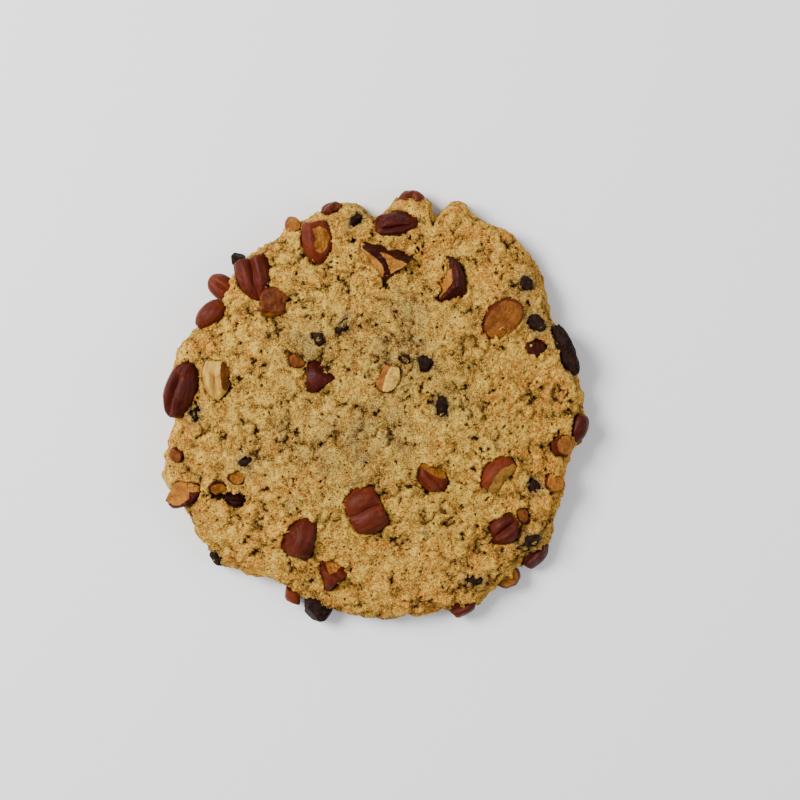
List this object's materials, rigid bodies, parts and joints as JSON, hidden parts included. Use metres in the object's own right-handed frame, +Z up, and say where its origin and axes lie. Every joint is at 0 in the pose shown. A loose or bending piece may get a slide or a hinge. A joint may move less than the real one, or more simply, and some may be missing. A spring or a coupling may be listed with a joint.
{
  "type": "drop cookie",
  "caption": "Large soft-baked drop cookie with a craggy domed top, chopped pecan pieces and dark chocolate chunks set in the dough; lies flat on its baked base.",
  "frame": {"origin": "middle of the flat base, at the level of the surface that the cookie lies on", "axes": "+Z up out of the baked top; +X and +Y lie in the base, with +Y towards the side where the outline has two notches"},
  "size_m": [0.1066, 0.1094, 0.0164],
  "materials": {
    "dough": "matte, crumbly",
    "pecan": "satin skin, matte cut faces",
    "chocolate": "satin"
  },
  "bodies": {
    "root": {"cookie_dough": "dough", "chocolate_elbow": "chocolate", "chocolate_north": "chocolate", "chocolate_smear_a": "chocolate", "chocolate_smear_b": "chocolate", "chocolate_smear_c": "chocolate", "chocolate_south": "chocolate", "chocolate_spot_a": "chocolate", "chocolate_spot_b": "chocolate", "chocolate_streak": "chocolate", "chocolate_twin_a": "chocolate", "chocolate_twin_b": "chocolate", "chocolate_west": "chocolate", "pecan_chip_a": "pecan", "pecan_chip_b": "pecan", "pecan_chip_c": "pecan", "pecan_comma": "pecan", "pecan_cream": "pecan", "pecan_cross": "pecan", "pecan_crumb": "pecan", "pecan_dark": "pecan", "pecan_drop": "pecan", "pecan_heart": "pecan", "pecan_low": "pecan", "pecan_middle": "pecan", "pecan_oval": "pecan", "pecan_ridge": "pecan", "pecan_rough": "pecan", "pecan_scrap": "pecan", "pecan_section": "pecan", "pecan_side": "pecan", "pecan_slice": "pecan", "pecan_split": "pecan", "pecan_tan": "pecan", "pecan_vee": "pecan", "pecan_wedge": "pecan", "pecan_wrinkled": "pecan", "rim_chocolate_corner": "chocolate", "rim_chocolate_east": "chocolate", "rim_chocolate_north": "chocolate", "rim_chocolate_sill": "chocolate", "rim_chocolate_south": "chocolate", "rim_chocolate_west": "chocolate", "rim_pecan_bean": "pecan", "rim_pecan_corner": "pecan", "rim_pecan_face": "pecan", "rim_pecan_flake": "pecan", "rim_pecan_half": "pecan", "rim_pecan_pale": "pecan", "rim_pecan_right": "pecan", "rim_pecan_south_a": "pecan", "rim_pecan_south_b": "pecan", "rim_pecan_south_c": "pecan", "rim_pecan_south_d": "pecan", "rim_pecan_tip": "pecan", "rim_pecan_west": "pecan"}
  },
  "joints": []
}
